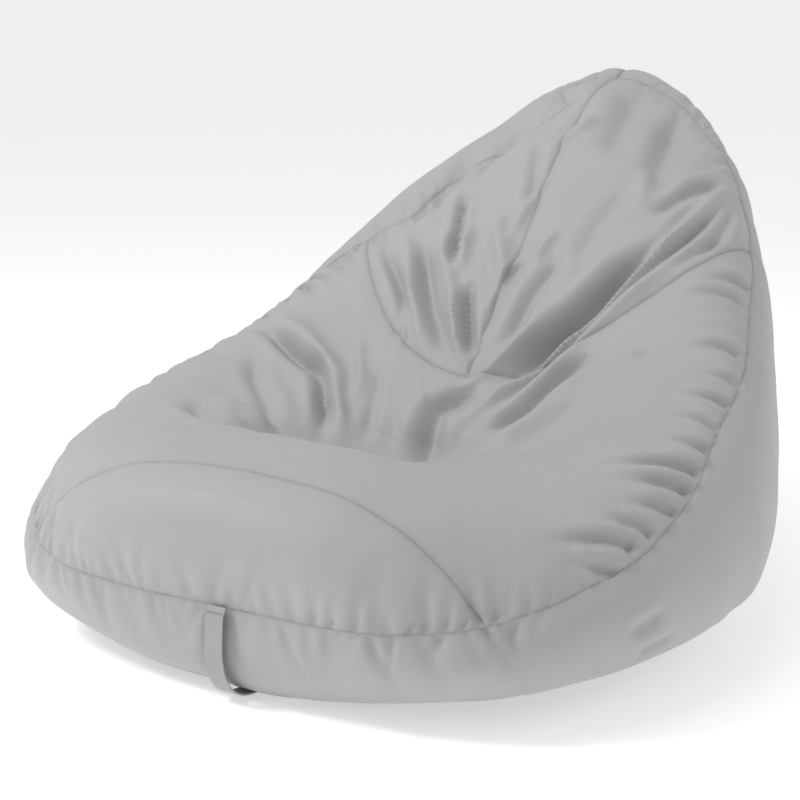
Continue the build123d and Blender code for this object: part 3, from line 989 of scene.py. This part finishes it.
def strap_fabric():
    """The strap: the same nylon, folded and sewn, with ribs along it."""
    cloth = Finish("strap_fabric", Sheen_Weight=0.18, Specular_IOR_Level=0.4)
    u, v = cloth.grain()
    ribs = cloth.wave(u * (2 * math.pi / 0.0022))
    picks = cloth.wave(v * (2 * math.pi / 0.0011))
    drift = cloth.cloudy(30.0)
    base = cloth.blend(drift * 0.6 + ribs * 0.10 + picks * 0.08 + 0.15, (0.33, 0.33, 0.335, 1),
                       (0.42, 0.42, 0.425, 1))
    cloth.feed("Base Color", base)
    cloth.feed("Roughness", drift * 0.12 + 0.5)
    cloth.relief(ribs * 0.5 + picks * 0.4, 0.0002, 0.6)
    return cloth.material


def spun(name, dark, light, scale, rough, bump):
    """Thread, tape and other small textiles: fibres and a little unevenness."""
    cloth = Finish(name, Specular_IOR_Level=0.35, Sheen_Weight=0.15)
    fibres = cloth.cloudy(scale, 4.0)
    drift = cloth.cloudy(scale / 12)
    cloth.feed("Base Color", cloth.blend(fibres * 0.7 + drift * 0.3, dark + (1,), light + (1,)))
    cloth.feed("Roughness", fibres * 0.15 + rough)
    cloth.relief(fibres, bump, 0.6)
    return cloth.material


def coil_plastic():
    """Moulded coil teeth."""
    plastic = Finish("zip_coil", Specular_IOR_Level=0.5)
    drift = plastic.cloudy(600.0)
    plastic.feed("Base Color", plastic.blend(drift, (0.30, 0.30, 0.305, 1), (0.38, 0.38, 0.385, 1)))
    plastic.feed("Roughness", drift * 0.2 + 0.30)
    return plastic.material


def zinc():
    """Plated zinc with fine scuffs."""
    metal = Finish("zip_metal", Metallic=1.0)
    scuffs = metal.cloudy(1400.0, 5.0)
    patches = metal.cloudy(180.0)
    metal.feed("Base Color", metal.blend(patches, (0.50, 0.50, 0.50, 1), (0.66, 0.66, 0.65, 1)))
    metal.feed("Roughness", scuffs * 0.25 + (patches * 0.1 + 0.18))
    metal.relief(scuffs, 0.00005, 0.5)
    return metal.material


def bead_foam():
    """Packed foam beads."""
    foam = Finish("foam_beads", Subsurface_Weight=0.1)
    cells = foam.read(foam.node("ShaderNodeTexVoronoi", None, Scale=260.0,
                                Vector=foam.read(foam.node("ShaderNodeTexCoord"), "Object")), "Distance")
    # Paler at each bead's middle and darker towards the gaps between beads: painted shade in the gaps.
    foam.feed("Base Color", foam.blend(cells, (0.92, 0.92, 0.91, 1), (0.74, 0.74, 0.73, 1)))
    foam.feed("Roughness", cells * 0.2 + 0.55)
    foam.relief(1 - cells, 0.0015, 1.0)
    return foam.material


def all_finishes():
    """Every material of the chair."""
    return {
        "cover": cover_fabric("cover_fabric", (0.405, 0.405, 0.412), 0.0009),
        "strap": strap_fabric(),
        "thread": spun("sewing_thread", (0.26, 0.26, 0.265), (0.36, 0.36, 0.365), 900.0, 0.5, 0.0001),
        "tape": spun("zip_tape", (0.27, 0.27, 0.275), (0.36, 0.36, 0.365), 700.0, 0.65, 0.0001),
        "liner": spun("liner_fabric", (0.70, 0.70, 0.69), (0.84, 0.84, 0.83), 300.0, 0.7, 0.0002),
        "closing": spun("closing_strip", (0.10, 0.10, 0.10), (0.18, 0.18, 0.18), 800.0, 0.8, 0.0003),
        "label": spun("label_cloth", (0.78, 0.78, 0.77), (0.88, 0.88, 0.87), 500.0, 0.55, 0.00008),
        "coil": coil_plastic(),
        "metal": zinc(),
        "beads": bead_foam(),
    }


# =============================== studio ===============================

FLOOR_SIZE = 120
FLOOR_GLOW = 0.36
SKY_STRENGTH = 0.54


def area_light(name, place, aim, size, power):
    """A soft square lamp at place, facing aim."""
    data = bpy.data.lights.new(name, "AREA")
    data.size = size
    data.energy = power
    lamp = bpy.data.objects.new(name, data)
    lamp.location = place
    lamp.rotation_euler = (Vector(aim) - Vector(place)).to_track_quat("-Z", "Y").to_euler()
    bpy.context.scene.collection.objects.link(lamp)


def studio():
    """Plain pale floor and soft lights."""
    bpy.ops.object.select_all(action="DESELECT")
    bpy.ops.mesh.primitive_plane_add(size=FLOOR_SIZE, location=(0, 0, -0.0005))
    floor = bpy.context.object
    floor.name = "studio_floor"
    paint = bpy.data.materials.new("studio_floor")
    paint.use_nodes = True
    shader = paint.node_tree.nodes["Principled BSDF"]
    shader.inputs["Base Color"].default_value = (0.93, 0.93, 0.93, 1)
    shader.inputs["Roughness"].default_value = 0.9
    shader.inputs["Emission Color"].default_value = (1, 1, 1, 1)
    shader.inputs["Emission Strength"].default_value = FLOOR_GLOW
    floor.data.materials.append(paint)
    world = bpy.data.worlds.new("studio")
    bpy.context.scene.world = world
    world.use_nodes = True
    world.node_tree.nodes["Background"].inputs["Color"].default_value = (1, 1, 1, 1)
    world.node_tree.nodes["Background"].inputs["Strength"].default_value = SKY_STRENGTH
    area_light("key", (-1.6, -1.7, 2.3), (0, 0, 0.3), size=0.7, power=39)
    area_light("top", (-0.2, -0.3, 2.9), (0, 0, 0.2), size=1.6, power=14)
    area_light("edge", (2.3, 0.8, 1.4), (0, 0.1, 0.3), size=1.2, power=7)
    bpy.context.scene.view_settings.view_transform = "Standard"


CAMERA_AZIMUTH = math.radians(34)
CAMERA_HEIGHT = math.radians(12.3)
CAMERA_AIM = Vector((-0.118, 0.068, 0.230))
CAMERA_DISTANCE = 2.691
SENSOR_WIDTH = 36            # both in mm
LENS = 89.19


def camera():
    """A long lens, to the chair's right and a little above it."""
    data = bpy.data.cameras.new("camera")
    data.sensor_width = SENSOR_WIDTH
    data.lens = LENS
    view = bpy.data.objects.new("camera", data)
    back = Vector((math.sin(CAMERA_AZIMUTH) * math.cos(CAMERA_HEIGHT),
                   -math.cos(CAMERA_AZIMUTH) * math.cos(CAMERA_HEIGHT), math.sin(CAMERA_HEIGHT)))
    view.location = CAMERA_AIM + back * CAMERA_DISTANCE
    view.rotation_euler = (-back).to_track_quat("-Z", "Y").to_euler()
    bpy.context.scene.collection.objects.link(view)
    bpy.context.scene.camera = view


camera()
studio()
finishes = all_finishes()
bag_shape = filled_bag()
cut_seams(bag_shape)
seams = shape_cloth(bag_shape)
seam_stitching(bag_shape, seams, finishes)
inner_skins(finishes)
closing_strip(finishes)
split_panels(bag_shape, finishes["cover"])
strap_line = strap_pieces(finishes)
bar_tack(strap_line, finishes)
zip_pieces(finishes)
label_piece(finishes)
